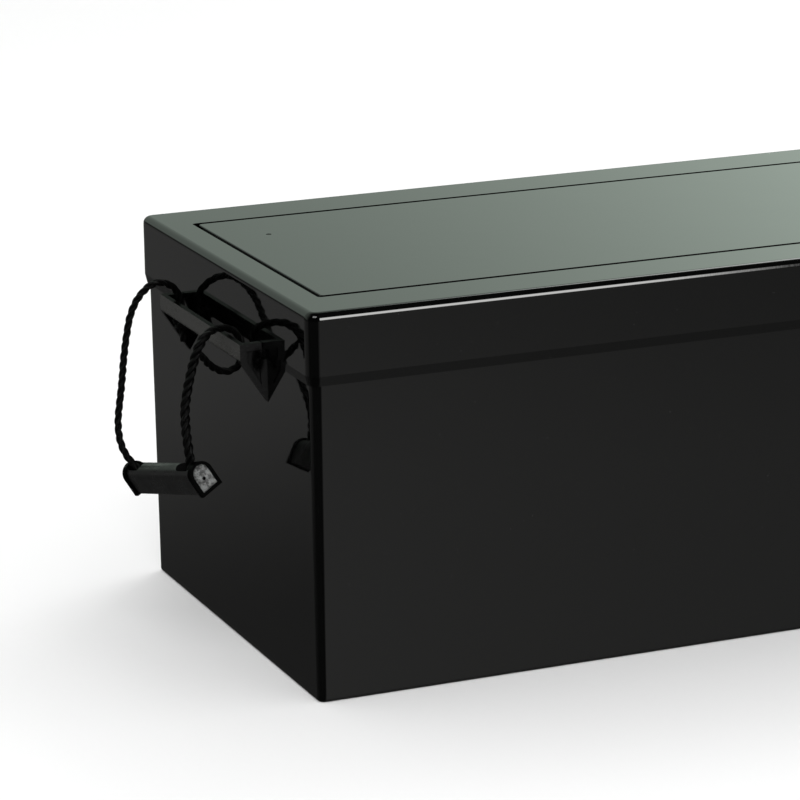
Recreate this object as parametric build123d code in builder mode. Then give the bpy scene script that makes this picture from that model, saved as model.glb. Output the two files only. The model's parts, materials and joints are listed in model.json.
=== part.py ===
from build123d import *
from math import atan, degrees, pi, radians, tan
import os

# A large-format 25.6 V battery pack in a moulded case, with a rope handle on each end.
# Millimetres. The origin is the centre of the base, +Z is up, +X runs along the length
# towards the terminals, and -Y is the front.

os.makedirs("parts", exist_ok=True)

# ---------------------------------------------------------------- driving dimensions
length = 522                  # lid, over the ends
width = 269                   # lid, front to back
height = 218                  # base to the lid's top face

lid_skirt = 40                # depth of the lid's side walls
lid_overhang = 2.5            # how far the lid stands out past the case's rim
lid_corner = 6.5              # radius of the lid's upright corners
lid_edge = 4.2                # radius of the edge round its top face
case_corner = 5.5
lid_roof = 5
case_wall = 4.5
case_floor = 5
case_draft = 1.3              # how much the case narrows on each side, rim to base
gasket = 1

panel_end_margin = 19         # lid's end face to the recess for the flush top panel
panel_side_margin = 35        # lid's front or back face to the same recess, were it central
panel_y = -1.4                # it sits this far towards the front
panel_depth = 2
panel_groove = 3              # gap round the panel
vent_x = -211.4
vent_y = 52.8
vent_hole = 1.6               # radius of the vent's hole in the panel

lug_length = 130              # rope lug, along the end wall
lug_reach = 13                # how far its bar stands out past the lid's end face
lug_bar = 3                   # thickness of the bar
lug_top = 186.8
lug_bar_bottom = 176
lug_foot = 153                # lowest point of the triangular gussets, on the wall
lug_gusset = 4.5
lug_rib = 3.5                 # thickness of the rib that the rope's knot pulls against

rope_diameter = 4.4
rope_hole = 6
grip_near = (-297, -68, 115.4)      # centre of the left grip's front end
grip_far = (-307.9, 16.5, 94.8)     # centre of its back end

terminal_x = 220
terminal_y = 118
pocket_length = 46            # terminal pockets, open at the top and to the side
pocket_width = 31
pocket_wall = 3.5
pocket_floor = 4
pocket_depth = 24

cell_count = 8
cell_thick, cell_wide, cell_tall = 54, 174, 195
spacer = 1
end_plate = 6
pole_y = 50                   # a cell's poles, from its middle
base_pad = 2

# ---------------------------------------------------------------- worked-out dimensions
half_length = length / 2
half_width = width / 2
case_length = length - 2 * lid_overhang
case_width = width - 2 * lid_overhang
inner_length = case_length - 2 * case_wall
inner_width = case_width - 2 * case_wall
lid_bottom = height - lid_skirt
seat = lid_bottom + 7                       # where the lid rests on the gasket
rim = seat - gasket                         # top of the case's wall
roof_under = height - lid_roof

cell_pitch = cell_thick + spacer
first_cell_x = -cell_pitch * (cell_count - 1) / 2
stack_half = -first_cell_x + cell_thick / 2 + end_plate
cell_bottom = case_floor + base_pad
cell_top = cell_bottom + cell_tall
pole_top = cell_top + 3


def save(piece, name):
    """Label one finished sub-part and write it to its own file."""
    piece.label = name
    export_step(piece, f"parts/{name}.step")


def save_both_ends(piece, name):
    """Write a piece of the left (-X) end, and the same piece turned round for the right end."""
    save(piece, f"left_{name}")
    save(piece.rotate(Axis.Z, 180), f"right_{name}")


def wall_at(z):
    """Distance from the middle to the case's drafted end wall, at height z."""
    return case_length / 2 - case_draft * (1 - z / rim)


def cord_radii(route):
    """The arc at each inner point of a cord's route, as large as its two runs allow."""
    radii = []
    for before, here, after in zip(route, route[1:], route[2:]):
        run_in = Vector(here) - Vector(before)
        run_out = Vector(after) - Vector(here)
        turn = radians(run_in.get_angle(run_out))
        radii.append(0.45 * min(run_in.length, run_out.length) / tan(turn / 2))
    return radii


# ---------------------------------------------------------------- case
tongue_depth = 2              # how far each lug gusset is let into the wall
tongue_low = lug_foot + 4
tongue_high = lid_bottom - 3
gusset_y = lug_length / 2 - lug_gusset / 2
tongue_places = [
    (sx * (case_length / 2 - tongue_depth / 2), sy * gusset_y, (tongue_low + tongue_high) / 2)
    for sx in (-1, 1)
    for sy in (-1, 1)
]

with BuildPart() as case:
    with BuildSketch(Plane.XY.offset(rim)):
        RectangleRounded(case_length, case_width, case_corner)
    extrude(amount=-rim, taper=degrees(atan(case_draft / rim)))
    fillet(case.faces().sort_by(Axis.Z)[0].edges(), 2)
    with BuildSketch(Plane.XY.offset(case_floor)):
        RectangleRounded(inner_length, inner_width, 3)
    extrude(amount=rim, mode=Mode.SUBTRACT)
    # four pairs of low ribs on the floor hold the base pad's edges
    with BuildSketch(Plane.XY.offset(case_floor)):
        with GridLocations((inner_length - 60) / 3, inner_width - 14, 4, 2):
            Rectangle(30, 2)
    extrude(amount=6)
    # grooves in both end walls take the lugs' gussets
    with Locations(*tongue_places):
        Box(tongue_depth, lug_gusset, tongue_high - tongue_low, mode=Mode.SUBTRACT)
save(case.part, "case")

# ---------------------------------------------------------------- lid gasket
with BuildPart() as lid_gasket:
    with BuildSketch(Plane.XY.offset(rim)):
        RectangleRounded(case_length - 1, case_width - 1, case_corner - 0.5)
        RectangleRounded(inner_length + 1, inner_width + 1, 3, mode=Mode.SUBTRACT)
    extrude(amount=gasket)
save(lid_gasket.part, "lid_gasket")

# ---------------------------------------------------------------- lid
taper_in = 1.3                # the skirt's lower edge draws in by this much
taper_height = 5.5
rabbet_gap = 0.15
pocket_bottom = height - pocket_depth       # upper face of a pocket's floor
pocket_y = half_width - pocket_width / 2
block_width = pocket_width + pocket_wall - (half_width - inner_width / 2)
block_y = inner_width / 2 - block_width / 2
terminal_neck = 5.8           # radius of a terminal where it passes its pocket's floor
vent_seat = 4
recess_length = length - 2 * panel_end_margin
recess_width = width - 2 * panel_side_margin

with BuildPart() as lid:
    with BuildSketch(Plane.XY.offset(lid_bottom + taper_height)) as lid_outline:
        RectangleRounded(length, width, lid_corner)
    extrude(amount=lid_skirt - taper_height)
    fillet(lid.faces().sort_by(Axis.Z)[-1].edges(), lid_edge)
    extrude(lid_outline.sketch, amount=-taper_height, taper=degrees(atan(taper_in / taper_height)))
    with BuildSketch(Plane.XY.offset(lid_bottom)):
        RectangleRounded(case_length + 2 * rabbet_gap, case_width + 2 * rabbet_gap, case_corner)
    extrude(amount=seat - lid_bottom, mode=Mode.SUBTRACT)
    with BuildSketch(Plane.XY.offset(seat)):
        RectangleRounded(inner_length, inner_width, 3)
    extrude(amount=roof_under - seat, mode=Mode.SUBTRACT)
    # the terminal pockets' own walls and floors, then the pockets themselves
    with BuildSketch(Plane.XY.offset(pocket_bottom - pocket_floor)):
        with Locations(*[(terminal_x, side * block_y) for side in (-1, 1)]):
            Rectangle(pocket_length + 2 * pocket_wall, block_width)
    extrude(amount=roof_under - pocket_bottom + pocket_floor)
    with BuildSketch(Plane.XY.offset(pocket_bottom)):
        with Locations(*[(terminal_x, side * (pocket_y + 2)) for side in (-1, 1)]):
            RectangleRounded(pocket_length, pocket_width + 4, 2.5)
    extrude(amount=pocket_depth, mode=Mode.SUBTRACT)
    with Locations(*[(terminal_x, side * terminal_y, pocket_bottom) for side in (-1, 1)]):
        Cylinder(terminal_neck + 0.2, 3 * pocket_floor, mode=Mode.SUBTRACT)
    # the shallow recess for the top panel, and the vent valve's hole in it
    with BuildSketch(Plane.XY.offset(height - panel_depth)):
        with Locations((0, panel_y)):
            RectangleRounded(recess_length, recess_width, 2.5)
    extrude(amount=panel_depth, mode=Mode.SUBTRACT)
    with Locations((vent_x, vent_y, roof_under)):
        Cylinder(vent_seat, 2 * lid_roof, mode=Mode.SUBTRACT)
save(lid.part, "lid")

# ---------------------------------------------------------------- top panel and vent
with BuildPart() as top_panel:
    with BuildSketch(Plane.XY.offset(height - panel_depth)):
        with Locations((0, panel_y)):
            RectangleRounded(recess_length - 2 * panel_groove, recess_width - 2 * panel_groove, 2)
        with Locations((vent_x, vent_y)):
            Circle(vent_hole, mode=Mode.SUBTRACT)
    extrude(amount=panel_depth)
    chamfer(top_panel.faces().sort_by(Axis.Z)[-1].outer_wire().edges(), 0.4)
save(top_panel.part, "top_panel")

with BuildPart() as vent_valve:
    with Locations((vent_x, vent_y, roof_under)):
        Cylinder(vent_seat, lid_roof - panel_depth, align=(Align.CENTER, Align.CENTER, Align.MIN))
    with Locations((vent_x, vent_y, roof_under)):
        Cylinder(vent_seat + 2, 1.5, align=(Align.CENTER, Align.CENTER, Align.MAX))
    fillet(vent_valve.faces().sort_by(Axis.Z)[0].edges(), 0.6)
    # the small pin that stands in the panel's hole
    with Locations((vent_x, vent_y, height - panel_depth)):
        Cylinder(vent_hole - 0.2, panel_depth - 0.2, align=(Align.CENTER, Align.CENTER, Align.MIN))
    fillet(vent_valve.faces().sort_by(Axis.Z)[-1].edges(), 0.5)
save(vent_valve.part, "vent_valve")

# ---------------------------------------------------------------- rope lugs
bar_out = -(half_length + lug_reach)
bar_in = bar_out + lug_bar
bar_round = 2.5               # radius along the bar's lower outer edge
gusset_out = bar_out + 0.6                  # the gussets stop just behind the bar's face
lid_clear = -(half_length + 0.4)            # stays off the lid's end face
step = lid_bottom - 0.6                     # and under the lid's lower edge
wall_gap = 0.02
sunk_triangle = [(-270, 183), (-263.2, 183), (-261.8, 163), (-270, 177)]
sunk_depth = 1.6
web_width = 16
knot_x = -265.5
knot_y = lug_length / 2 - lug_gusset - web_width / 2

with BuildPart() as rope_lug:
    # the bar that the rope goes round, with its lower outer edge rounded
    with BuildSketch(Plane.XZ.offset(-lug_length / 2)):
        with BuildLine():
            Polyline((bar_out, lug_bar_bottom + bar_round), (bar_out, lug_top), (bar_in, lug_top),
                     (bar_in, lug_bar_bottom), (bar_out + bar_round, lug_bar_bottom))
            RadiusArc((bar_out + bar_round, lug_bar_bottom), (bar_out, lug_bar_bottom + bar_round), bar_round)
        make_face()
    extrude(amount=lug_length)
    # a triangular gusset at each end, from the bar's full height to a point on the wall
    for side in (-1, 1):
        with BuildSketch(Plane.XZ.offset(-side * gusset_y)):
            with BuildLine():
                Polyline(
                    (gusset_out, lug_top), (lid_clear, lug_top), (lid_clear, step),
                    (-wall_at(step) - wall_gap, step), (-wall_at(lug_foot) - wall_gap, lug_foot),
                    (gusset_out, lug_bar_bottom), close=True,
                )
            make_face()
        extrude(amount=lug_gusset / 2, both=True)
        # the sunk triangle on the gusset's outer face
        with BuildSketch(Plane.XZ.offset(-side * lug_length / 2)):
            with BuildLine():
                Polyline(*sunk_triangle, close=True)
            make_face()
        extrude(amount=side * sunk_depth, mode=Mode.SUBTRACT)
        # the web in the corner between bar and gusset, with the rope's hole
        with BuildSketch(Plane.XY.offset(lug_bar_bottom)):
            with Locations(((bar_in + lid_clear) / 2, side * knot_y)):
                Rectangle(lid_clear - bar_in, web_width)
            with Locations((knot_x, side * knot_y)):
                Circle(rope_hole / 2, mode=Mode.SUBTRACT)
        extrude(amount=lug_rib)
    with Locations(*tongue_places[:2]):
        Box(tongue_depth, lug_gusset, tongue_high - tongue_low)
save_both_ends(rope_lug.part, "rope_lug")

# ---------------------------------------------------------------- rope handles
# the left rope, from the knot under its rib, over the bar, down to the grip and through it, up to
# the bar and once round it, where its end is spliced into the strand as an eye
rope_route = [
    (knot_x, knot_y, lug_bar_bottom), (-265.5, 52.5, 187), (-273.5, 49.5, 196.5), (-285.5, 46.5, 199),
    (-298, 45.4, 186.8), (-304.5, 40.8, 164.2), (-310.5, 30, 144.4), (-316, 24.1, 124.6),
    (-315.5, 17.9, 111.4), (-311, 11, 103.6), (-306.3, 1.5, 98.6), (-303.8, -14, 102.4),
    (-300.8, -30, 106), (-299.3, -43.5, 108.8), (-300, -54, 114.6), (-302, -57.6, 125.6),
    (-302.3, -54, 137), (-300.8, -48, 150), (-297.5, -46, 163), (-293.8, -45.6, 176),
    (-290, -46.5, 186), (-283.5, -43.5, 190.8), (-276, -40, 191), (-269, -38.5, 189.6),
    (-264, -39.5, 184), (-263.4, -41.3, 175), (-266.5, -41, 168.2), (-273, -39.3, 165.2),
    (-280.5, -39.8, 168.6), (-286.5, -42.6, 175.8),
]
radii = cord_radii(rope_route)
print("rope radii", [round(radius, 1) for radius in radii])
with BuildPart() as handle_rope:
    with BuildLine() as rope_line:
        FilletPolyline(*rope_route, radius=radii)
    with BuildSketch(rope_line.line ^ 0):
        Circle(rope_diameter / 2)
    sweep()
save_both_ends(handle_rope.part, "handle_rope")
rope_length = rope_line.wires()[0].length
rope_area = pi * rope_diameter**2 / 4
print("rope length", rope_length, "volume over area", handle_rope.part.volume / rope_area)

# the knot that stops the rope under the rib
knot_radius = 5
knot_neck = 2
knot_tail = 3.5               # the rope's end shows this far under the knot
with BuildPart() as rope_knot:
    with Locations((knot_x, knot_y, lug_bar_bottom - knot_radius)):
        Sphere(knot_radius)
    with BuildSketch(Plane.XY.offset(lug_bar_bottom)):
        with Locations((knot_x, knot_y)):
            Circle(2 * knot_radius)
    extrude(amount=knot_radius, mode=Mode.SUBTRACT)
    with Locations((knot_x, knot_y, lug_bar_bottom)):
        Cylinder(rope_diameter / 2, knot_neck, align=(Align.CENTER, Align.CENTER, Align.MAX))
    with Locations((knot_x, knot_y, lug_bar_bottom - 2 * knot_radius)):
        Cylinder(rope_diameter / 2, 2 * knot_tail)
save_both_ends(rope_knot.part, "rope_knot")

# ---------------------------------------------------------------- grips
grip_wide = 14
grip_flat = -8                # the flat side, from the line of the rope
grip_dome = 3                 # centre of the domed side
flange = 4
waist = 1                     # the body between the flanges is this much smaller all round
end_recess = 1.5
end_rim = 1.7
end_pin = 1                   # radius of the moulding pin's hole in each end
end_pin_depth = 5
bore = 3.4
bore_inset = 1                # its ends, from the slots' outer ends
slot_wide = 7.6
far_slot = (3.2, 19)          # along the grip, from its back end
near_slot = (5, 23)           # along the grip, from its front end

grip_line = Vector(grip_far) - Vector(grip_near)
grip_length = grip_line.length
apex = Vector(-0.476, 0, 0.88)
across = apex.cross(grip_line).normalized()
near_end = Plane(origin=grip_near, x_dir=across, z_dir=grip_line)
slot_plane = Plane(origin=grip_near, x_dir=grip_line, z_dir=near_end.y_dir)


def grip_section(shrink):
    """The flat-bottomed, domed section, smaller by shrink all round."""
    radius = grip_wide / 2 - shrink
    with BuildSketch() as section:
        with BuildLine():
            Polyline((-radius, grip_dome), (-radius, grip_flat + shrink),
                     (radius, grip_flat + shrink), (radius, grip_dome))
            ThreePointArc((radius, grip_dome), (0, grip_dome + radius), (-radius, grip_dome))
        make_face()
    return section.sketch


with BuildPart() as grip:
    with BuildSketch(near_end):
        add(grip_section(waist))
    extrude(amount=grip_length)
    for start in (0, grip_length - flange):
        with BuildSketch(near_end.offset(start)):
            add(grip_section(0))
        extrude(amount=flange)
    for start in (0, grip_length - end_recess):
        with BuildSketch(near_end.offset(start)):
            add(grip_section(end_rim))
        extrude(amount=end_recess, mode=Mode.SUBTRACT)
    for start in (0, grip_length - end_pin_depth):
        with BuildSketch(near_end.offset(start)):
            Circle(end_pin)
        extrude(amount=end_pin_depth, mode=Mode.SUBTRACT)
    # the rope's bore runs between the slots only, so both ends look closed
    with BuildSketch(near_end.offset(near_slot[0] + bore_inset)):
        Circle(bore)
    extrude(amount=grip_length - near_slot[0] - far_slot[0] - 2 * bore_inset, mode=Mode.SUBTRACT)
    with BuildSketch(slot_plane):
        for low, high in (near_slot, (grip_length - far_slot[1], grip_length - far_slot[0])):
            with Locations(((low + high) / 2, 0)):
                SlotOverall(high - low, slot_wide)
    extrude(amount=grip_wide, mode=Mode.SUBTRACT)
save_both_ends(grip.part, "grip")

# ---------------------------------------------------------------- terminals
terminal_head = 10            # radius of the brass head in the pocket
terminal_top = 206
thread_hole = 3.4
thread_depth = 18
collar_width = 3
collar_height = 6
seal_thick = 1
nut_thick = 5
nut_radius = 9.5
lug_thick = 3                 # cable lugs' tongues
neck_bottom = 178
stud_places = {"positive": (terminal_x, -terminal_y), "negative": (terminal_x, terminal_y)}
pocket_under = pocket_bottom - pocket_floor

for name, place in stud_places.items():
    with BuildPart() as terminal:
        with Locations((*place, pocket_bottom + seal_thick)):
            Cylinder(terminal_head, terminal_top - pocket_bottom - seal_thick,
                     align=(Align.CENTER, Align.CENTER, Align.MIN))
        chamfer(terminal.faces().sort_by(Axis.Z)[-1].edges(), 0.6)
        with Locations((*place, neck_bottom)):
            Cylinder(terminal_neck, pocket_bottom + seal_thick - neck_bottom,
                     align=(Align.CENTER, Align.CENTER, Align.MIN))
        # the M8 thread's hole, closed at the bottom
        with Locations((*place, terminal_top)):
            Hole(thread_hole, thread_depth)
    save(terminal.part, f"{name}_terminal")

    with BuildPart() as collar:
        with BuildSketch(Plane.XY.offset(pocket_bottom)):
            with Locations(place):
                Circle(terminal_head + collar_width)
                Circle(terminal_head + 0.2, mode=Mode.SUBTRACT)
        extrude(amount=collar_height)
        chamfer(collar.faces().sort_by(Axis.Z)[-1].edges(), 0.6)
    save(collar.part, f"{name}_collar")

with BuildPart() as terminal_seals:
    with BuildSketch(Plane.XY.offset(pocket_bottom)):
        with Locations(*stud_places.values()):
            Circle(terminal_head - 0.5)
            Circle(terminal_neck + 0.1, mode=Mode.SUBTRACT)
    extrude(amount=seal_thick)
save(terminal_seals.part, "terminal_seals")

with BuildPart() as terminal_nuts:
    with BuildSketch(Plane.XY.offset(pocket_under - lug_thick - nut_thick)):
        with Locations(*stud_places.values()):
            RegularPolygon(nut_radius, 6)
            Circle(terminal_neck + 0.1, mode=Mode.SUBTRACT)
    extrude(amount=nut_thick)
save(terminal_nuts.part, "terminal_nuts")

# ---------------------------------------------------------------- cell stack
cell_places = [first_cell_x + i * cell_pitch for i in range(cell_count)]

with BuildPart() as base_foam:
    with BuildSketch(Plane.XY.offset(case_floor)):
        RectangleRounded(2 * stack_half, cell_wide + 20, 4)
    extrude(amount=base_pad)
save(base_foam.part, "base_pad")

for i, x in enumerate(cell_places):
    with BuildPart() as cell:
        with Locations((x, 0, cell_bottom)):
            Box(cell_thick, cell_wide, cell_tall, align=(Align.CENTER, Align.CENTER, Align.MIN))
        fillet(cell.edges().filter_by(Axis.Z), 3)
        # the oval burst vent in the middle of the cell's lid
        with BuildSketch(Plane.XY.offset(cell_top)):
            with Locations((x, 0)):
                SlotOverall(22, 12, rotation=90)
        extrude(amount=-0.8, mode=Mode.SUBTRACT)
    save(cell.part, f"cell_{i + 1}")

with BuildPart() as cell_spacers:
    with Locations(*[(x + cell_pitch / 2, 0, cell_bottom) for x in cell_places[:-1]]):
        Box(spacer, cell_wide - 10, cell_tall - 5, align=(Align.CENTER, Align.CENTER, Align.MIN))
save(cell_spacers.part, "cell_spacers")

pole_radius = 9
bolt_radius = 3
with BuildPart() as cell_poles:
    with BuildSketch(Plane.XY.offset(cell_top)):
        with Locations(*[(x, side * pole_y) for x in cell_places for side in (-1, 1)]):
            Circle(pole_radius)
            Circle(bolt_radius, mode=Mode.SUBTRACT)
    extrude(amount=pole_top - cell_top)
save(cell_poles.part, "cell_poles")

for name, side in (("left", -1), ("right", 1)):
    with BuildPart() as plate:
        with BuildSketch(Plane.YZ.offset(side * (stack_half - end_plate / 2))):
            with Locations((0, cell_bottom + cell_tall / 2)):
                RectangleRounded(cell_wide, cell_tall, 4)
                # windows that save weight between the plate's ribs
                with GridLocations(56, 90, 3, 2):
                    RectangleRounded(40, 70, 6, mode=Mode.SUBTRACT)
        extrude(amount=end_plate / 2, both=True)
    save(plate.part, f"{name}_end_plate")

strap_thick = 0.8
strap_width = 16
for name, z in (("lower", 104), ("upper", 192)):
    with BuildPart() as strap:
        with BuildSketch(Plane.XY.offset(z - strap_width / 2)):
            Rectangle(2 * stack_half + 2 * strap_thick, cell_wide + 2 * strap_thick)
            Rectangle(2 * stack_half, cell_wide, mode=Mode.SUBTRACT)
        extrude(amount=strap_width)
    save(strap.part, f"{name}_strap")

# ---------------------------------------------------------------- cell connections
bar_thick = 2


def row_side(i):
    """The row of poles that busbar i joins: 1 at the back, -1 at the front."""
    return 1 if i % 2 == 0 else -1


for i in range(cell_count - 1):
    row = row_side(i) * pole_y
    middle_x = cell_places[i] + cell_pitch / 2
    with BuildPart() as busbar:
        with BuildSketch(Plane.XY.offset(pole_top)):
            with Locations((middle_x, row)):
                SlotOverall(cell_pitch + 20, 20)
                with GridLocations(cell_pitch, 1, 2, 1):
                    Circle(bolt_radius + 0.2, mode=Mode.SUBTRACT)
        extrude(amount=bar_thick)
    save(busbar.part, f"busbar_{i + 1}")

head_thick = 2.5
head_bottom = pole_top + bar_thick
board_bottom = head_bottom + head_thick
with BuildPart() as busbar_bolts:
    for x in cell_places:
        for side in (-1, 1):
            with Locations((x, side * pole_y, cell_top)):
                Cylinder(bolt_radius - 0.1, head_bottom - cell_top,
                         align=(Align.CENTER, Align.CENTER, Align.MIN))
            with BuildSketch(Plane.XY.offset(head_bottom)):
                with Locations((x, side * pole_y)):
                    RegularPolygon(5.5, 6)
            extrude(amount=head_thick)
save(busbar_bolts.part, "busbar_bolts")

with BuildPart() as insulation_board:
    with BuildSketch(Plane.XY.offset(board_bottom)):
        RectangleRounded(2 * stack_half, 150, 6)
    extrude(amount=1.2)
save(insulation_board.part, "insulation_board")

# ---------------------------------------------------------------- battery management unit
# it stands in the gap in front of the cells, its parts facing forwards
bracket_y = -cell_wide / 2 - 1
bracket_thick = 1.5
standoff = 6
standoff_wide, standoff_high = 210, 90      # between the standoffs' middles
board_wide, board_high = 230, 110
board_thick = 1.6
screw_radius = 1.6
board_margin = 10             # the bracket's edge, past the board's
unit_z = 92
with BuildPart() as bms_bracket:
    with BuildSketch(Plane.XZ.offset(-bracket_y)):
        with Locations((0, unit_z)):
            RectangleRounded(board_wide + 2 * board_margin, board_high + 2 * board_margin, 5)
    extrude(amount=bracket_thick)
    with BuildSketch(Plane.XZ.offset(-bracket_y + bracket_thick)):
        with Locations((0, unit_z)):
            with GridLocations(standoff_wide, standoff_high, 2, 2):
                Circle(4)
    extrude(amount=standoff)
save(bms_bracket.part, "bms_bracket")

board_back = bracket_y - bracket_thick - standoff
with BuildPart() as bms_board:
    with BuildSketch(Plane.XZ.offset(-board_back)):
        with Locations((0, unit_z)):
            RectangleRounded(board_wide, board_high, 3)
            with GridLocations(standoff_wide, standoff_high, 2, 2):
                Circle(screw_radius + 0.1, mode=Mode.SUBTRACT)
    extrude(amount=board_thick)
save(bms_board.part, "bms_board")

board_front = board_back - board_thick
with BuildPart() as bms_screws:
    # each screw's head, and its shank through the board
    for radius, depth in ((3, 2), (screw_radius, -board_thick)):
        with BuildSketch(Plane.XZ.offset(-board_front)):
            with Locations((0, unit_z)):
                with GridLocations(standoff_wide, standoff_high, 2, 2):
                    Circle(radius)
        extrude(amount=depth)
save(bms_screws.part, "bms_screws")

transistor_thick = 4.5
sink_z = unit_z - 8
sink_wide, sink_high = 184, 62
sink_plate = 2.5
fin_pitch, fin_thick, fin_depth = 6.5, 1.6, 8
with BuildPart() as bms_transistors:
    with BuildSketch(Plane.XZ.offset(-board_front)):
        with Locations((0, sink_z)):
            with GridLocations(15, 44, 12, 2):
                Rectangle(10, 11)
    extrude(amount=transistor_thick)
save(bms_transistors.part, "bms_transistors")

sink_back = board_front - transistor_thick
with BuildPart() as bms_heatsink:
    with BuildSketch(Plane.XZ.offset(-sink_back)):
        with Locations((0, sink_z)):
            Rectangle(sink_wide, sink_high)
    extrude(amount=sink_plate)
    with BuildSketch(Plane.XZ.offset(-sink_back + sink_plate)):
        with Locations((0, sink_z)):
            with GridLocations(1, fin_pitch, 1, 10):
                Rectangle(sink_wide, fin_thick)
    extrude(amount=fin_depth)
save(bms_heatsink.part, "bms_heatsink")

post_height = 12
post_x = 60
post_z = unit_z + 42
post_front = board_front - post_height
post_wide, post_high = 16, 14
with BuildPart() as bms_posts:
    with BuildSketch(Plane.XZ.offset(-board_front)):
        with Locations((-post_x, post_z), (post_x, post_z)):
            Rectangle(post_wide, post_high)
            Circle(bolt_radius, mode=Mode.SUBTRACT)
    extrude(amount=post_height)
save(bms_posts.part, "bms_posts")

# ---------------------------------------------------------------- power connections
link_width = 20
cable_radius = 4.5
barrel_radius = 5.5
front_leg = -cell_wide / 2 - 9        # front face of the positive link's upright leg
foot_end = terminal_y + 9
link_start = 10               # each link reaches this far past its pole's middle
hole = bolt_radius + 0.2

# a formed copper strip from the last cell, over the stack's edge, to the positive terminal
with BuildPart() as positive_link:
    with BuildSketch(Plane.YZ.offset(cell_places[-1])):
        with BuildLine():
            Polyline(
                (-pole_y + link_start, pole_top), (-pole_y + link_start, head_bottom),
                (front_leg, head_bottom), (front_leg, pocket_under - lug_thick),
                (front_leg + bar_thick, pocket_under - lug_thick), (front_leg + bar_thick, pole_top),
                close=True,
            )
        make_face()
    extrude(amount=link_width / 2, both=True)
    with BuildSketch(Plane.XY.offset(pocket_under - lug_thick)):
        with Locations(((cell_places[-1] + terminal_x) / 2, (front_leg + bar_thick - foot_end) / 2)):
            Rectangle(terminal_x - cell_places[-1] + link_width, foot_end + front_leg + bar_thick)
        with Locations((terminal_x, -terminal_y)):
            Circle(terminal_neck + 0.1, mode=Mode.SUBTRACT)
    extrude(amount=lug_thick)
    with Locations((cell_places[-1], -pole_y, head_bottom)):
        Hole(hole, 2 * bar_thick)
save(positive_link.part, "positive_link")

# and one from the first cell to the management unit
with BuildPart() as negative_link:
    with BuildSketch(Plane.XY.offset(pole_top)):
        with Locations((cell_places[0], (-pole_y + link_start + post_front - bar_thick) / 2)):
            Rectangle(link_width, -pole_y + link_start - post_front + bar_thick)
        with Locations((cell_places[0], -pole_y)):
            Circle(hole, mode=Mode.SUBTRACT)
    extrude(amount=bar_thick)
    with BuildSketch(Plane.XZ.offset(-post_front)):
        with Locations((cell_places[0], (head_bottom + post_z - post_high / 2) / 2)):
            Rectangle(link_width, head_bottom - post_z + post_high / 2)
        with Locations(((cell_places[0] - post_x + link_start) / 2, post_z)):
            Rectangle(-post_x - cell_places[0] + link_start, post_high)
        with Locations((-post_x, post_z)):
            Circle(hole, mode=Mode.SUBTRACT)
    extrude(amount=bar_thick)
save(negative_link.part, "negative_link")

barrel_length = 14
barrel_x = post_x + 22
barrel_y = post_front - bar_thick / 2
barrel_drop = 18              # the other lug's barrel ends this far under its pocket
upright_x = terminal_x + 16
cable_route = [
    (barrel_x + barrel_length, barrel_y, post_z), (222, barrel_y, post_z), (240, -92, post_z),
    (240, 90, 140), (238, 112, 146), (upright_x, terminal_y, 158),
    (upright_x, terminal_y, pocket_under - barrel_drop),
]
with BuildPart() as output_cable:
    with BuildLine() as cable_line:
        FilletPolyline(*cable_route, radius=cord_radii(cable_route))
    with BuildSketch(cable_line.line ^ 0):
        Circle(cable_radius)
    sweep()
save(output_cable.part, "output_cable")

with BuildPart() as cable_lugs:
    with BuildSketch(Plane.XZ.offset(-post_front)):
        with Locations((post_x + 8, post_z)):
            Rectangle(2 * post_wide, post_high)
        with Locations((post_x, post_z)):
            Circle(hole, mode=Mode.SUBTRACT)
    extrude(amount=bar_thick)
    with BuildSketch(Plane.YZ.offset(barrel_x)):
        with Locations((barrel_y, post_z)):
            Circle(barrel_radius)
    extrude(amount=barrel_length)
    with BuildSketch(Plane.XY.offset(pocket_under - lug_thick)):
        with Locations((terminal_x + 8, terminal_y)):
            Rectangle(30, 15)
        with Locations((terminal_x, terminal_y)):
            Circle(terminal_neck + 0.1, mode=Mode.SUBTRACT)
    extrude(amount=lug_thick)
    with BuildSketch(Plane.XY.offset(pocket_under - barrel_drop)):
        with Locations((upright_x, terminal_y)):
            Circle(barrel_radius)
    extrude(amount=barrel_drop - lug_thick)
save(cable_lugs.part, "cable_lugs")

with BuildPart() as bms_bolts:
    for x in (-post_x, post_x):
        with BuildSketch(Plane.XZ.offset(-post_front + bar_thick)):
            with Locations((x, post_z)):
                RegularPolygon(5.5, 6)
        extrude(amount=3)
        with BuildSketch(Plane.XZ.offset(-post_front + bar_thick)):
            with Locations((x, post_z)):
                Circle(bolt_radius - 0.1)
        extrude(amount=-10)
save(bms_bolts.part, "bms_bolts")

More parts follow.
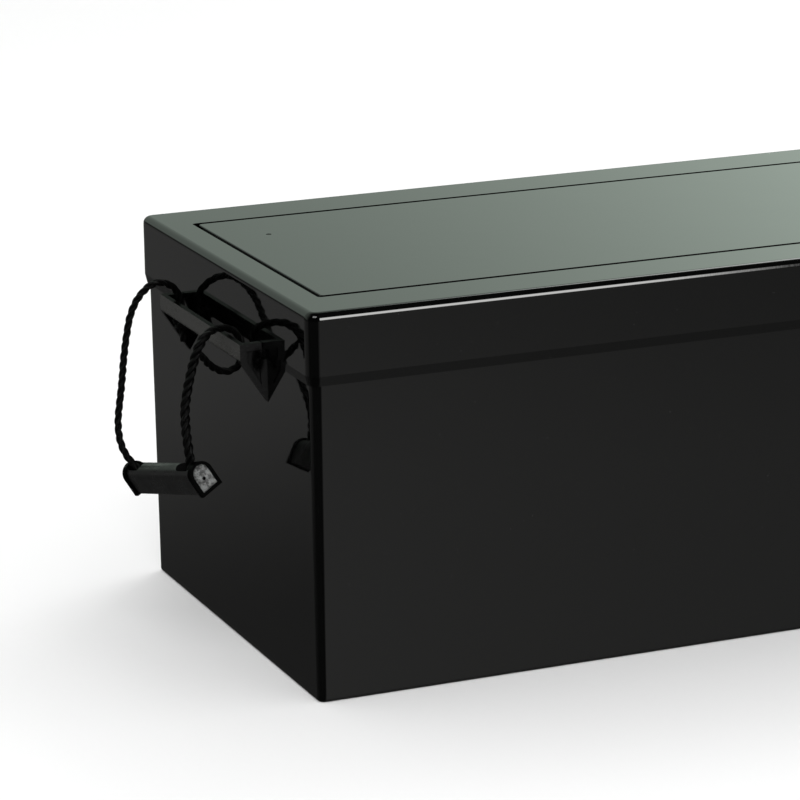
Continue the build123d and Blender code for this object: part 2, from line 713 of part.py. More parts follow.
# ---------------------------------------------------------------- cell voltage sensing
strip_thick = 0.4
strip_y = 36
strip_width = 10              # where it runs down to the management unit
tab = 6
tab_pin = 1.2                 # radius of the pin from each tab up to its busbar
connector_size = 8
connector_bottom = unit_z + board_high / 2
connector_top = connector_bottom + connector_size
leg_y = board_back + 0.5
with BuildPart() as sense_strip:
    with BuildSketch(Plane.XY.offset(cell_top)):
        with GridLocations(1, 2 * strip_y, 1, 2):
            Rectangle(2 * cell_places[-1], 8)
        with Locations((0, (strip_y + leg_y) / 2)):
            Rectangle(strip_width, strip_y - leg_y)
        # a tab under each busbar
        for i in range(cell_count - 1):
            with Locations((cell_places[i] + cell_pitch / 2, row_side(i) * (strip_y + tab))):
                Rectangle(tab - 1, tab)
    extrude(amount=strip_thick)
    with BuildSketch(Plane.XZ.offset(-leg_y)):
        with Locations((0, (cell_top + strip_thick + connector_top) / 2)):
            Rectangle(strip_width, cell_top + strip_thick - connector_top)
    extrude(amount=-strip_thick)
    for i in range(cell_count - 1):
        with Locations((cell_places[i] + cell_pitch / 2, row_side(i) * (strip_y + tab + 1), cell_top)):
            Cylinder(tab_pin, pole_top - cell_top, align=(Align.CENTER, Align.CENTER, Align.MIN))
save(sense_strip.part, "sense_strip")

with BuildPart() as sense_connector:
    with Locations((0, board_back - board_thick / 2, connector_bottom)):
        Box(28, connector_size, connector_size, align=(Align.CENTER, Align.CENTER, Align.MIN))
save(sense_connector.part, "sense_connector")

with BuildPart() as temperature_sensor:
    with Locations((9, -20, cell_top)):
        Box(8, 8, 2.6, align=(Align.CENTER, Align.CENTER, Align.MIN))
    fillet(temperature_sensor.edges().filter_by(Axis.Z), 2)
save(temperature_sensor.part, "temperature_sensor")

# ---------------------------------------------------------------- foam blocks round the stack
pad_bottom = 12
stack_front = cell_wide / 2 + strap_thick
end_gap = inner_length / 2 - stack_half - strap_thick
back_gap = inner_width / 2 - stack_front
for name, side, top in (("left", -1, 175), ("right", 1, 122)):
    with BuildPart() as pad:
        with Locations((side * (stack_half + strap_thick + end_gap / 2), 0, pad_bottom)):
            Box(end_gap, 150, top - pad_bottom, align=(Align.CENTER, Align.CENTER, Align.MIN))
    save(pad.part, f"{name}_foam_block")

with BuildPart() as back_pad:
    with Locations((0, stack_front + back_gap / 2, pad_bottom)):
        Box(400, back_gap, 168, align=(Align.CENTER, Align.CENTER, Align.MIN))
save(back_pad.part, "back_foam_block")
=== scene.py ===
import bpy
import json
from math import cos, pi, radians, sin
from mathutils import Matrix, Vector
from mathutils.noise import noise


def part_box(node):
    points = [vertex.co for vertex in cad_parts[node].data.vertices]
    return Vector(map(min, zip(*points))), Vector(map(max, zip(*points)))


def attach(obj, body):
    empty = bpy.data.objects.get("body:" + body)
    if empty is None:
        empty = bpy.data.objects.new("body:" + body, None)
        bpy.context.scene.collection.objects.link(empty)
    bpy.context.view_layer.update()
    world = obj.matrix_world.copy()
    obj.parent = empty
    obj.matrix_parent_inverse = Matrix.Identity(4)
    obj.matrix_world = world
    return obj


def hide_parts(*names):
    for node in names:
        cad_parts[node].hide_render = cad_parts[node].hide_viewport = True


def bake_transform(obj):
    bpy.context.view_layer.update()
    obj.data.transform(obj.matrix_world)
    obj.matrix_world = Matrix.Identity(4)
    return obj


# The battery pack's looks. Everything is in metres, in the CAD model's own frame: the origin is the
# centre of the base, +X runs towards the terminals, -Y is the front and +Z is up.

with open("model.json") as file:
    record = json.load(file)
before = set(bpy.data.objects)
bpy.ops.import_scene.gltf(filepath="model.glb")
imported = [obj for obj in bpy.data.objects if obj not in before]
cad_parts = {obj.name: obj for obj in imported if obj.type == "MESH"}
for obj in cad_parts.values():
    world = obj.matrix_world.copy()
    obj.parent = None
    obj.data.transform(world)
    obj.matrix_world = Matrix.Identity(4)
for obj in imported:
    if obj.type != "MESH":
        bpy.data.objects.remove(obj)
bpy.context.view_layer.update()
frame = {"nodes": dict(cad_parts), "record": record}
nodes = frame["nodes"]

MM = 0.001

# ---------------------------------------------------------------- camera
VIEW_AZIMUTH = radians(-22.69)
VIEW_ELEVATION = radians(15.35)
VIEW_ROLL = radians(-0.737)
VIEW_FROM = Vector((-0.9572, -1.9228, 0.6978))
LENS = 169.76                     # focal length on a 36 mm sensor, in mm


def add_camera():
    """The camera stands to the front left and a little above, with a long lens."""
    back = Vector((
        sin(VIEW_AZIMUTH) * cos(VIEW_ELEVATION),
        -cos(VIEW_AZIMUTH) * cos(VIEW_ELEVATION),
        sin(VIEW_ELEVATION),
    ))
    level_right = Vector((cos(VIEW_AZIMUTH), sin(VIEW_AZIMUTH), 0))
    level_up = back.cross(level_right)
    right = cos(VIEW_ROLL) * level_right + sin(VIEW_ROLL) * level_up
    up = back.cross(right)
    data = bpy.data.cameras.new("camera")
    data.sensor_width = 36
    data.lens = LENS
    data.clip_end = 100
    camera = bpy.data.objects.new("camera", data)
    turned = Matrix((right, up, back)).transposed().to_4x4()
    camera.matrix_world = Matrix.Translation(VIEW_FROM) @ turned
    bpy.context.scene.collection.objects.link(camera)
    bpy.context.scene.camera = camera


add_camera()


# ---------------------------------------------------------------- material helpers
class Nodes:
    """A node tree that is put together a step at a time."""

    def __init__(self, tree):
        self.tree = tree
        self.coords = tree.nodes.new("ShaderNodeTexCoord")

    def node(self, kind, **settings):
        made = self.tree.nodes.new("ShaderNode" + kind)
        for key, value in settings.items():
            setattr(made, key, value)
        return made

    def plug(self, source, target):
        """Join an output to an input, or set the input where source is a plain value."""
        if isinstance(source, bpy.types.NodeSocket):
            self.tree.links.new(source, target)
        else:
            target.default_value = source

    def placed(self, stretch=(1, 1, 1), space="Object"):
        """Coordinates on the object, stretched along its axes."""
        mapping = self.node("Mapping")
        self.plug(self.coords.outputs[space], mapping.inputs["Vector"])
        mapping.inputs["Scale"].default_value = stretch
        return mapping.outputs["Vector"]

    def noise(self, size, detail=3, stretch=(1, 1, 1), rough=0.55, space="Object"):
        """Noise whose blobs are about size metres across, as a value from 0 to 1."""
        made = self.node("TexNoise")
        self.plug(self.placed(stretch, space), made.inputs["Vector"])
        made.inputs["Scale"].default_value = 1 / size
        made.inputs["Detail"].default_value = detail
        made.inputs["Roughness"].default_value = rough
        return made.outputs["Fac"]

    def ramp(self, source, low, high, start=0.0, end=1.0):
        """A value that goes from start to end as source goes from low to high."""
        made = self.node("MapRange", interpolation_type="SMOOTHSTEP")
        self.plug(source, made.inputs["Value"])
        made.inputs["From Min"].default_value = low
        made.inputs["From Max"].default_value = high
        made.inputs["To Min"].default_value = start
        made.inputs["To Max"].default_value = end
        return made.outputs["Result"]

    def maths(self, kind, first, second):
        """Two values put together by a Math node of that kind."""
        made = self.node("Math", operation=kind)
        self.plug(first, made.inputs[0])
        self.plug(second, made.inputs[1])
        return made.outputs[0]

    def mix(self, amount, first, second):
        """A colour between two colours."""
        made = self.node("Mix", data_type="RGBA")
        self.plug(amount, made.inputs["Factor"])
        self.plug(first, made.inputs["A"])
        self.plug(second, made.inputs["B"])
        return made.outputs["Result"]

    def near(self, point, reach):
        """1 within reach of a point on the object, and 0 further off."""
        made = self.node("VectorMath", operation="DISTANCE")
        self.plug(self.coords.outputs["Object"], made.inputs[0])
        made.inputs[1].default_value = point
        return self.ramp(made.outputs["Value"], 0.6 * reach, reach, 1.0, 0.0)

    def split(self, vector):
        """The X, Y and Z outputs of a vector."""
        made = self.node("SeparateXYZ")
        self.plug(vector, made.inputs[0])
        return made.outputs["X"], made.outputs["Y"], made.outputs["Z"]

    def along(self, vector, direction):
        """How far a vector goes in a direction."""
        made = self.node("VectorMath", operation="DOT_PRODUCT")
        self.plug(vector, made.inputs[0])
        made.inputs[1].default_value = direction
        return made.outputs["Value"]

    def size_of(self, value):
        """A value without its sign."""
        return self.maths("ABSOLUTE", value, 0)

    def product(self, *values):
        """Several values multiplied together."""
        made = values[0]
        for value in values[1:]:
            made = self.maths("MULTIPLY", made, value)
        return made


class Shader(Nodes):
    """A material with one Principled shader."""

    def __init__(self, name):
        self.material = bpy.data.materials.new(name)
        self.material.use_nodes = True
        super().__init__(self.material.node_tree)
        self.bsdf = self.tree.nodes["Principled BSDF"]
        self.bumps = None

    def set(self, **values):
        """Constant values on the shader's own sockets."""
        for key, value in values.items():
            self.bsdf.inputs[key.replace("_", " ")].default_value = value
        return self

    def scratches(self, size, stretch, share):
        """Fine lines along the least stretched axis, over about that share of the surface."""
        lines = self.noise(size, 2, stretch)
        patches = self.noise(0.06, 2)
        thin = self.ramp(lines, 0.70 - share, 0.72 - share / 2)
        return self.product(thin, self.ramp(patches, 0.5, 0.62))

    def bump(self, height, depth, strength=1.0):
        """Add relief of that depth in metres to what is there."""
        made = self.node("Bump")
        made.inputs["Distance"].default_value = depth
        made.inputs["Strength"].default_value = strength
        self.plug(height, made.inputs["Height"])
        if self.bumps is not None:
            self.plug(self.bumps, made.inputs["Normal"])
        self.bumps = made.outputs["Normal"]
        return self

    def done(self, color=None, roughness=None):
        if color is not None:
            self.plug(color, self.bsdf.inputs["Base Color"])
        if roughness is not None:
            self.plug(roughness, self.bsdf.inputs["Roughness"])
        if self.bumps is not None:
            self.plug(self.bumps, self.bsdf.inputs["Normal"])
        return self.material


def grey(level, tint=(1, 1, 1)):
    """A grey of that brightness, tinted a little."""
    return (level * tint[0], level * tint[1], level * tint[2], 1)


# ---------------------------------------------------------------- rope route
# the left rope, from its knot, over and outside the lug's bar, down to the grip and through it, up
# again and round the bar in an eye; control points of a smooth line, in millimetres
ROPE_ROUTE = [
    (-265.5, 52.5, 176), (-265.5, 52.5, 187), (-273.5, 49.5, 196.5), (-285.5, 46.5, 199),
    (-298, 45.4, 186.8), (-304.5, 40.8, 164.2), (-310.5, 30, 144.4), (-316, 24.1, 124.6),
    (-315.5, 17.9, 111.4), (-311, 11, 103.6), (-306.3, 1.5, 98.6), (-303.8, -14, 102.4),
    (-300.8, -30, 106), (-299.3, -43.5, 108.8), (-300, -54, 114.6), (-302, -57.6, 125.6),
    (-302.3, -54, 137), (-300.8, -48, 150), (-297.5, -46, 163), (-293.8, -45.6, 176),
    (-290, -46.5, 186), (-283.5, -43.5, 190.8), (-276, -40, 191), (-269, -38.5, 189.6),
    (-264, -39.5, 184), (-263.4, -41.3, 175), (-266.5, -41, 168.2), (-273, -39.3, 165.2),
    (-280.5, -39.8, 168.6), (-288, -43.6, 176), (-291.2, -46, 182.5),
]
BEND_END = (-305, 40, 163)        # where the rope below its knot has turned with the handle
GRIP_NEAR = (-297, -68, 115.4)    # middle of the left grip's front end
GRIP_FAR = (-307.9, 16.5, 94.8)
ROPE_DIAMETER = 4.4 * MM
ROPE_LENGTH = 0.37
STRANDS = 3
LAY = 16 * MM                     # one turn of a strand round the rope
STRAND_OFFSET = 0.48              # a strand's middle from the rope's, as a share of the rope's radius
STRAND_RADIUS = 0.545             # as a share of the rope's radius
YARNS = 5                         # ridges on each strand
YARN_HEIGHT = 0.075               # as a share of the strand's radius
YARN_LAY = 0.62                   # one turn of a yarn, as a share of the strand's
RING_STEP = 0.55 * MM             # between two rings of a strand's mesh


def turned_round(point):
    """The same place at the other end of the pack."""
    return Vector((-point[0], -point[1], point[2]))


def smooth_line(points):
    """Points along the NURBS line that has these control points."""
    curve = bpy.data.curves.new("line", "CURVE")
    curve.dimensions = "3D"
    curve.resolution_u = 24
    spline = curve.splines.new("NURBS")
    spline.points.add(len(points) - 1)
    for made, point in zip(spline.points, points):
        made.co = (*point, 1)
    spline.order_u = 3
    spline.use_endpoint_u = True
    bare = bpy.data.objects.new("line", curve)
    mesh = bpy.data.meshes.new_from_object(bare)
    line = [v.co.copy() for v in mesh.vertices]
    bpy.data.meshes.remove(mesh)
    bpy.data.objects.remove(bare)
    bpy.data.curves.remove(curve)
    return line


def evenly(line, step):
    """The same line with points a step apart, and how far along it each one is."""
    made = [line[0].copy()]
    along = [0.0]
    total = 0.0
    due = step
    for a, b in zip(line, line[1:]):
        run = (b - a).length
        while run > 0 and total + run >= due:
            made.append(a.lerp(b, (due - total) / run))
            along.append(due)
            due += step
        total += run
    if total - along[-1] > step / 4:
        made.append(line[-1].copy())
        along.append(total)
    return made, along


def frames_along(line):
    """A normal and a second normal at each point, with as little twist as the line allows."""
    made = []
    normal = None
    for i, point in enumerate(line):
        ahead = (line[min(i + 1, len(line) - 1)] - line[max(i - 1, 0)]).normalized()
        if normal is None:
            normal = ahead.orthogonal().normalized()
        normal = (normal - normal.dot(ahead) * ahead).normalized()
        made.append((normal, ahead.cross(normal)))
    return made


def strand_mesh(name, line, thickness, sides=20, lay=LAY, close=False):
    """Strands laid round a line. thickness(s) is the rope's radius at the distance s along it."""
    points, along = evenly(line, RING_STEP)
    frames = frames_along(points)
    verts = []
    faces = []
    spots = []
    for k in range(STRANDS):
        first = len(verts)
        for i, (point, s) in enumerate(zip(points, along)):
            radius = thickness(s)
            loose = 1 + 0.05 * noise(Vector((s * 90, k * 7.3, 1.7)))
            angle = 2 * pi * (s / lay + k / STRANDS) + 0.25 * noise(Vector((s * 40, 3.1, 9.2)))
            normal, other = frames[i]
            outward = cos(angle) * normal + sin(angle) * other
            sideways = -sin(angle) * normal + cos(angle) * other
            centre = point + STRAND_OFFSET * radius * loose * outward
            for j in range(sides):
                around = 2 * pi * j / sides
                ridge = 1 + YARN_HEIGHT * cos(YARNS * around + 2 * pi * s / (YARN_LAY * lay) + k)
                reach = STRAND_RADIUS * radius * ridge
                verts.append(centre + reach * (cos(around) * outward + sin(around) * sideways))
                spots.append((s, j / sides))
        rings = len(points)
        for i in range(rings - 1):
            for j in range(sides):
                a = first + i * sides + j
                b = first + i * sides + (j + 1) % sides
                faces.append((a, b, b + sides, a + sides))
        if not close:
            faces.append(tuple(first + j for j in reversed(range(sides))))
            faces.append(tuple(first + (rings - 1) * sides + j for j in range(sides)))
    mesh = bpy.data.meshes.new(name)
    mesh.from_pydata(verts, [], faces)
    mesh.polygons.foreach_set("use_smooth", [True] * len(mesh.polygons))
    layer = mesh.uv_layers.new(name="along")
    for loop in mesh.loops:
        layer.data[loop.index].uv = spots[loop.vertex_index]
    mesh.update()
    made = bpy.data.objects.new(name, mesh)
    bpy.context.scene.collection.objects.link(made)
    return made, points


def rope_material():
    """Black laid fibre, with fine filaments along each strand that are a little lighter, partly the
    fibre's own tone and partly a painted highlight, and a soft sheen.
    """
    shader = Shader("rope_fibre")
    shader.set(IOR=1.2)
    filaments = shader.noise(1 * MM, 4, (1400, 30, 1), space="UV")
    filaments.node.inputs["Scale"].default_value = 1.0
    dust = shader.noise(3 * MM, 3)
    shader.bump(filaments, 0.25 * MM, 0.9)
    shader.bump(shader.noise(0.3 * MM, 2), 0.06 * MM, 0.6)
    # lighter along the filaments: partly the fibre's own tone, partly a painted highlight
    dark = shader.mix(shader.ramp(filaments, 0.35, 0.7), grey(0.0008), grey(0.0035, (1, 1, 0.97)))
    color = shader.mix(shader.ramp(dust, 0.62, 0.8, 0.0, 0.2), dark, grey(0.03, (1, 0.98, 0.92)))
    return shader.done(color, shader.ramp(filaments, 0.3, 0.8, 0.26, 0.5))


SPLICE = (0.224, 0.29)            # the spliced stretch, as distances along the rope
SPLICE_TAPER = 12 * MM
SPLICE_SWELL = 1.2                # the rope's thickness there, and elsewhere
PLAIN_SWELL = 0.95
TUCKED_END = 7 * MM               # the rope thins out over its last stretch
TUCKED_TIP = 0.2


def rope_radius(s):
    """The rope is spliced, and so thicker, between the grip and its eye, and thins out at its end."""
    outside = max(SPLICE[0] - s, s - SPLICE[1], 0) / SPLICE_TAPER
    swollen = SPLICE_SWELL - (SPLICE_SWELL - PLAIN_SWELL) * min(1, outside)
    tucked = min(1, max(TUCKED_TIP, (ROPE_LENGTH - s) / TUCKED_END))
    return ROPE_DIAMETER / 2 * swollen * tucked


KNOT_REACH = 2.9 * MM             # the knot's line, from its middle
KNOT_LOBE = 1.35 * MM
KNOT_HEIGHT = 1.9 * MM
KNOT_POINTS = 240
KNOT_LIFT = Vector((0, 0, 2.2)) * MM        # the knot's middle, above the middle of its CAD solid
KNOT_ROPE = 1.75 * MM             # the rope's radius where the knot is pulled tight
KNOT_LAY = 9 * MM
TAIL_ROPE = 1.95 * MM
TAIL = [Vector(point) * MM for point in ((0, 0, -2), (-0.3, -0.2, -6), (0.6, -0.5, -10.5))]


def knot_line(centre):
    """A closed three-lobed knot round a point, flattened a little."""
    made = []
    for i in range(KNOT_POINTS + 1):
        t = 2 * pi * i / KNOT_POINTS
        reach = KNOT_REACH + KNOT_LOBE * cos(3 * t)
        made.append(centre + Vector((reach * cos(2 * t), reach * sin(2 * t), KNOT_HEIGHT * sin(3 * t))))
    return made


FIBRE = rope_material()
for end, turn in (("left", Vector), ("right", turned_round)):
    control = [turn(point) * MM for point in ROPE_ROUTE]
    rope, path = strand_mesh(f"{end}_rope", smooth_line(control), rope_radius)
    rope.data.materials.append(FIBRE)
    low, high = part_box(f"{end}_rope_knot")
    knot_centre = (low + high) / 2 + KNOT_LIFT
    tied = knot_line(knot_centre)
    knot, _ = strand_mesh(f"{end}_stopper_knot", tied, lambda s: KNOT_ROPE, 14, KNOT_LAY, True)
    knot.data.materials.append(FIBRE)
    tail_line = smooth_line([knot_centre + point for point in TAIL])
    tail, _ = strand_mesh(f"{end}_rope_tail", tail_line, lambda s: TAIL_ROPE, 16)
    tail.data.materials.append(FIBRE)
    for piece in (knot, tail):
        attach(piece, "battery")
    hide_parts(f"{end}_rope_knot")
    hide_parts(f"{end}_handle_rope")
    turn(Vector(BEND_END)) * MM
    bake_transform(rope)


# ---------------------------------------------------------------- plastics
CASE_DARK = 0.0004
CASE_GLOSS = 0.02                 # its roughness where it is cleanest
PALE_SPOT = (-248 * MM, -132.6 * MM, 26 * MM)
PALE_SPOT_REACH = 1.3 * MM


def case_plastic():
    """Near-black moulded plastic with a deep gloss: faint waves, hairlines and specks of dust."""
    shader = Shader("case_abs")
    shader.set(IOR=1.49)
    waves = shader.noise(60 * MM, 2)
    peel = shader.noise(2.2 * MM, 2)
    hairlines = shader.scratches(4 * MM, (0.35, 6, 6), 0.02)
    specks = shader.ramp(shader.noise(1.1 * MM, 1), 0.79, 0.82)
    shader.bump(waves, 0.35 * MM, 0.1)
    shader.bump(peel, 0.02 * MM, 0.22)
    shader.bump(hairlines, 0.008 * MM, 0.35)
    cloudy = shader.noise(35 * MM, 4)
    darker = grey(CASE_DARK, (0.95, 1.05, 1.0))
    base = shader.mix(cloudy, darker, grey(2.2 * CASE_DARK, (0.97, 1.03, 1.0)))
    color = shader.mix(shader.product(specks, 0.25), base, grey(0.12))
    # one small pale spot low on the front wall
    color = shader.mix(shader.near(PALE_SPOT, PALE_SPOT_REACH), color, grey(0.75))
    patches = shader.noise(25 * MM, 5, rough=0.7)
    smear = shader.ramp(patches, 0.35, 0.75, CASE_GLOSS, 2.2 * CASE_GLOSS)
    return shader.done(color, shader.maths("ADD", smear, shader.product(hairlines, 0.12)))


BAR_FACE = 274 * MM               # the lug bar's outer face, from the middle of the pack
LUG_END = 65 * MM                 # the gussets' outer faces
DISH_SHADE_MIDDLE = (263.5 * MM, 177 * MM)     # the middle of the painted shade in the gussets' dish, in X and Z
DISH_SHADE_REACH = (3.5 * MM, 7 * MM)


def lug_plastic():
    """The same plastic with a duller skin, scuffed grey by the rope on the bar's outer face, with
    painted light on the gussets' outer faces round a painted shade in their dish.
    """
    shader = Shader("lug_abs")
    shader.set(IOR=1.2)
    scuffs = shader.scratches(2.5 * MM, (6, 0.3, 6), 0.08)
    peel = shader.noise(1.5 * MM, 3)
    rubbed = shader.noise(9 * MM, 4, (1, 0.3, 1.6))
    facing_x, facing_y, _ = shader.split(shader.coords.outputs["Normal"])
    x, y, z = shader.split(shader.coords.outputs["Object"])
    # the bar's outer face, and the gussets' outer faces, with painted light round a painted shade in
    # their dish
    far_out = shader.ramp(shader.size_of(x), BAR_FACE - 0.5 * MM, BAR_FACE - 0.1 * MM)
    outer = shader.product(far_out, shader.ramp(shader.size_of(facing_x), 0.85, 0.97))
    at_end = shader.ramp(shader.size_of(y), LUG_END - 2.2 * MM, LUG_END - 2 * MM)
    endways = shader.ramp(shader.size_of(facing_y), 0.85, 0.97)
    off_x = shader.maths("DIVIDE", shader.maths("SUBTRACT", shader.size_of(x), DISH_SHADE_MIDDLE[0]), DISH_SHADE_REACH[0])
    off_z = shader.maths("DIVIDE", shader.maths("SUBTRACT", z, DISH_SHADE_MIDDLE[1]), DISH_SHADE_REACH[1])
    off = shader.maths("ADD", shader.maths("POWER", off_x, 2), shader.maths("POWER", off_z, 2))
    lit_rim_and_dish_shade = shader.product(at_end, endways, shader.ramp(off, 0.3, 1.6))
    shader.bump(peel, 0.03 * MM, 0.3)
    shader.bump(scuffs, 0.03 * MM, 0.5)
    worn = shader.mix(rubbed, grey(0.024, (1, 1, 0.94)), grey(0.034, (1, 1, 0.94)))
    # painted light on the gussets' outer faces, fading to a painted shade in the middle of their dish
    base = shader.mix(lit_rim_and_dish_shade, grey(0.0005), grey(0.0125))
    base = shader.mix(outer, base, worn)
    color = shader.mix(shader.product(scuffs, 0.3), base, grey(0.09))
    return shader.done(color, shader.ramp(rubbed, 0.3, 0.75, 0.16, 0.34))


FLANGE = 4 * MM
END_RECESS = 1.5 * MM


def grip_plastic(end, turn):
    """Satin plastic with its flanges painted darker as shade, and pale, mottled floors in its sunk
    ends.
    """
    shader = Shader(f"{end}_grip_plastic")
    shader.set(IOR=1.35)
    near_end = turn(GRIP_NEAR) * MM
    far_end = turn(GRIP_FAR) * MM
    line = (far_end - near_end).normalized()
    middle = (near_end + far_end) / 2
    # depth is the distance from the nearer of the grip's two ends
    distance = shader.along(shader.coords.outputs["Object"], line)
    from_middle = shader.maths("SUBTRACT", distance, middle.dot(line))
    depth = shader.maths("SUBTRACT", (far_end - middle).length, shader.size_of(from_middle))
    facing = shader.along(shader.coords.outputs["Normal"], line)
    on_end = shader.maths("GREATER_THAN", shader.size_of(facing), 0.9)
    past_rim = shader.ramp(depth, END_RECESS - 0.3 * MM, END_RECESS - 0.1 * MM)
    at_floor = shader.ramp(depth, END_RECESS + 0.5 * MM, END_RECESS + 0.7 * MM, 1.0, 0.0)
    sunk = shader.product(on_end, past_rim, at_floor)
    # painted shade: the flanges near both ends, which also get little specular
    shaded_flange = shader.maths("SUBTRACT", shader.ramp(depth, FLANGE, FLANGE + 0.3 * MM, 1.0, 0.0), sunk)
    shader.plug(shader.ramp(shaded_flange, 0.0, 1.0, 0.5, 0.02), shader.bsdf.inputs["Specular IOR Level"])
    grain = shader.noise(0.5 * MM, 3)
    worn = shader.noise(12 * MM, 4)
    mottled = shader.noise(3.2 * MM, 5, rough=0.7)
    shader.bump(grain, 0.03 * MM, 0.5)
    shader.bump(shader.product(mottled, sunk), 0.25 * MM, 0.6)
    # the flanges take a near-black colour as painted shade
    base = shader.mix(shaded_flange, shader.mix(worn, grey(0.0035), grey(0.008)), grey(0.0004))
    # paler, mottled floors in the sunk ends
    pale_mottle = shader.mix(shader.ramp(mottled, 0.4, 0.64), grey(0.012), grey(0.2, (0.97, 1, 0.99)))
    return shader.done(shader.mix(sunk, base, pale_mottle), shader.ramp(worn, 0.3, 0.75, 0.22, 0.42))


def satin(name, color, rough=0.35, grain=0.6, relief=0.03, dull=False):
    """A plain moulded or sheet plastic with a fine grain."""
    shader = Shader(name)
    if dull:
        shader.set(Specular_IOR_Level=0.1)
    cloudy = shader.noise(18 * MM, 4)
    fine = shader.noise(grain * MM, 3)
    shader.bump(fine, relief * MM, 0.5)
    dark = tuple(0.82 * c for c in color) + (1,)
    light = tuple(min(1, 1.12 * c) for c in color) + (1,)
    roughness = shader.ramp(cloudy, 0.3, 0.7, rough - 0.06, rough + 0.08)
    return shader.done(shader.mix(cloudy, dark, light), roughness)


def metal(name, color, rough=0.28, stretch=(1, 12, 1), line=0.5):
    """Drawn or milled metal with its lines in one direction."""
    shader = Shader(name)
    shader.set(Metallic=1.0)
    lines = shader.noise(line * MM, 3, stretch)
    stain = shader.noise(15 * MM, 4)
    shader.bump(lines, 0.02 * MM, 0.4)
    dark = tuple(0.8 * c for c in color) + (1,)
    light = tuple(color) + (1,)
    roughness = shader.ramp(lines, 0.3, 0.7, rough - 0.06, rough + 0.1)
    return shader.done(shader.mix(stain, dark, light), roughness)


def foam(name, color):
    """Closed-cell foam: small pits all over, with painted shade in them."""
    shader = Shader(name)
    cells = shader.node("TexVoronoi")
    shader.plug(shader.placed(), cells.inputs["Vector"])
    cells.inputs["Scale"].default_value = 1 / (0.9 * MM)
    shader.bump(cells.outputs["Distance"], 0.3 * MM, 0.8)
    shaded_pit = tuple(0.6 * c for c in color) + (1,)
    return shader.done(shader.mix(cells.outputs["Distance"], shaded_pit, tuple(color) + (1,)), 0.9)


MATERIALS = {
    "case_plastic": case_plastic(),
    "lug_plastic": lug_plastic(),
    "left_grip": grip_plastic("left", Vector),
    "right_grip": grip_plastic("right", turned_round),
    "rope": FIBRE,
    "seal_rubber": satin("seal_rubber", (0.018, 0.018, 0.018), 0.6),
    "vent_plastic": satin("vent_plastic", (0.02, 0.022, 0.02), 0.6, dull=True),
    "terminal_brass": metal("terminal_brass", (0.78, 0.6, 0.3), 0.25, (1, 1, 9)),
    "red_plastic": satin("red_plastic", (0.55, 0.02, 0.015), 0.32),
    "black_plastic": satin("black_plastic", (0.02, 0.02, 0.021), 0.35),
    "steel": metal("steel", (0.56, 0.57, 0.58), 0.3),
    "foam": foam("foam", (0.08, 0.08, 0.085)),
    "cell_wrap": satin("cell_wrap", (0.02, 0.1, 0.42), 0.28, 1.5),
    "aluminium": metal("aluminium", (0.78, 0.79, 0.8), 0.32),
    "insulation": satin("insulation", (0.55, 0.52, 0.36), 0.5, 0.4),
    "copper": metal("copper", (0.85, 0.47, 0.3), 0.28),
    "circuit_board": satin("circuit_board", (0.015, 0.15, 0.06), 0.35, 1.0),
    "sense_film": satin("sense_film", (0.62, 0.3, 0.05), 0.25, 1.0),
    "cable_jacket": satin("cable_jacket", (0.02, 0.02, 0.022), 0.45),
}
for part in frame["record"]["subparts"]:
    shown = nodes[part["node"]]
    shown.data.materials.clear()
    own = part["node"] if part["node"] in MATERIALS else part["material_slot"]
    shown.data.materials.append(MATERIALS[own])


# ---------------------------------------------------------------- stage and light
def add_floor():
    """A wide pale floor, which the glossy walls don't reflect."""
    mesh = bpy.data.meshes.new("floor")
    half = 14
    corners = [(-half, -half, 0), (half, -half, 0), (half, half, 0), (-half, half, 0)]
    mesh.from_pydata(corners, [], [(0, 1, 2, 3)])
    floor = bpy.data.objects.new("floor", mesh)
    bpy.context.scene.collection.objects.link(floor)
    shader = Shader("pale_floor")
    shade = shader.mix(shader.noise(0.5, 2), grey(0.86), grey(0.88))
    mesh.materials.append(shader.done(shade, 0.8))
    floor.visible_glossy = False


def add_area(name, place, aim, size, power):
    """A rectangular lamp that points from place to aim."""
    data = bpy.data.lights.new(name, "AREA")
    data.shape = "RECTANGLE"
    data.size, data.size_y = size
    data.energy = power
    light = bpy.data.objects.new(name, data)
    light.location = place
    light.rotation_euler = (Vector(aim) - Vector(place)).to_track_quat("-Z", "Y").to_euler()
    bpy.context.scene.collection.objects.link(light)


LAMP_GLOW = 13.0


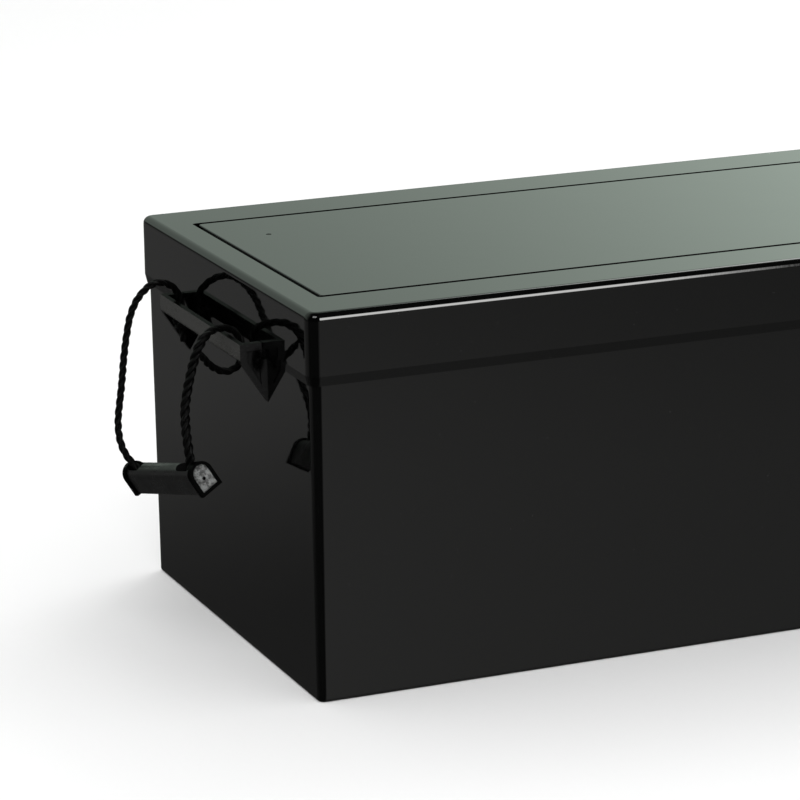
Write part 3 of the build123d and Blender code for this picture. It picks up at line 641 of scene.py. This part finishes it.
def add_world():
    """A pale room. Its reflections are a dim room with a pale green-grey wall behind the pack."""
    world = bpy.data.worlds.new("studio")
    bpy.context.scene.world = world
    world.use_nodes = True
    world.cycles.sampling_method = "NONE"
    tree = world.node_tree
    tree.nodes.clear()
    sky = Nodes(tree)
    x, y, height = sky.split(sky.coords.outputs["Generated"])
    # the far wall stands behind, from the floor to about 55 degrees up, brighter to the right
    up_wall = sky.ramp(height, 0.0, 0.16)
    down_again = sky.ramp(height, 0.72, 0.92, 1.0, 0.0)
    behind = sky.ramp(y, -0.1, 0.6)
    sideways = sky.node("MapRange")
    sky.plug(x, sideways.inputs["Value"])
    sideways.inputs["From Min"].default_value = 0.3
    sideways.inputs["From Max"].default_value = 0.5
    to_right = sky.product(sky.maths("POWER", sideways.outputs["Result"], 2.0), 0.7)
    wall = sky.product(up_wall, down_again, behind, sky.maths("ADD", to_right, 0.51))
    # below the horizon: dim behind and to the left, and brighter in front and to the right
    side_room = sky.ramp(height, -0.325, -0.255, 0.06, 0.147)
    dims_upwards = sky.product(
        sky.ramp(height, -0.62, -0.4, 0.5, 1.0), sky.ramp(height, -0.3, -0.22, 1.0, 0.74)
    )
    along_front = sky.product(sky.ramp(x, -0.02, 0.28, 0.08, 1.0), sky.ramp(x, 0.25, 0.5, 0.5, 0.34))
    front_room = sky.product(dims_upwards, along_front)
    room = sky.node("Mix", data_type="FLOAT")
    sky.plug(sky.ramp(y, -0.1, 0.25), room.inputs["Factor"])
    sky.plug(front_room, room.inputs["A"])
    sky.plug(side_room, room.inputs["B"])
    room = sky.product(room.outputs["Result"], sky.ramp(height, -0.1, 0.0, 1.0, 0.12))
    # one upright lamp in front, which only edges that face the front show
    lamp_height = sky.product(sky.ramp(height, -0.04, 0.04), sky.ramp(height, 0.42, 0.52, 1.0, 0.0))
    lamp_width = sky.product(sky.ramp(x, 0.24, 0.28), sky.ramp(x, 0.43, 0.48, 1.0, 0.0))
    lamp = sky.product(lamp_height, lamp_width, sky.ramp(y, -0.5, -0.3, LAMP_GLOW, 0.0))
    room = sky.maths("ADD", room, lamp)
    reflected = tree.nodes.new("ShaderNodeBackground")
    tint = sky.mix(sky.ramp(wall, 0.0, 0.3), (1, 1, 0.98, 1), (0.85, 1.0, 0.88, 1))
    tree.links.new(tint, reflected.inputs["Color"])
    tree.links.new(sky.maths("ADD", wall, room), reflected.inputs["Strength"])
    pale = tree.nodes.new("ShaderNodeBackground")
    pale.inputs["Color"].default_value = (1, 1, 1, 1)
    pale.inputs["Strength"].default_value = 1.0
    rays = sky.node("LightPath")
    chosen = tree.nodes.new("ShaderNodeMixShader")
    tree.links.new(rays.outputs["Is Glossy Ray"], chosen.inputs[0])
    tree.links.new(pale.outputs[0], chosen.inputs[1])
    tree.links.new(reflected.outputs[0], chosen.inputs[2])
    output = tree.nodes.new("ShaderNodeOutputWorld")
    tree.links.new(chosen.outputs[0], output.inputs["Surface"])


add_floor()
add_world()
add_area("key", (-1.2, -1.6, 2.6), (0, 0, 0.1), (1.6, 1.2), 30)
add_area("fill", (1.6, 1.4, 2.2), (0, 0, 0.1), (1.2, 1.2), 14)
bpy.context.scene.view_settings.view_transform = "Standard"
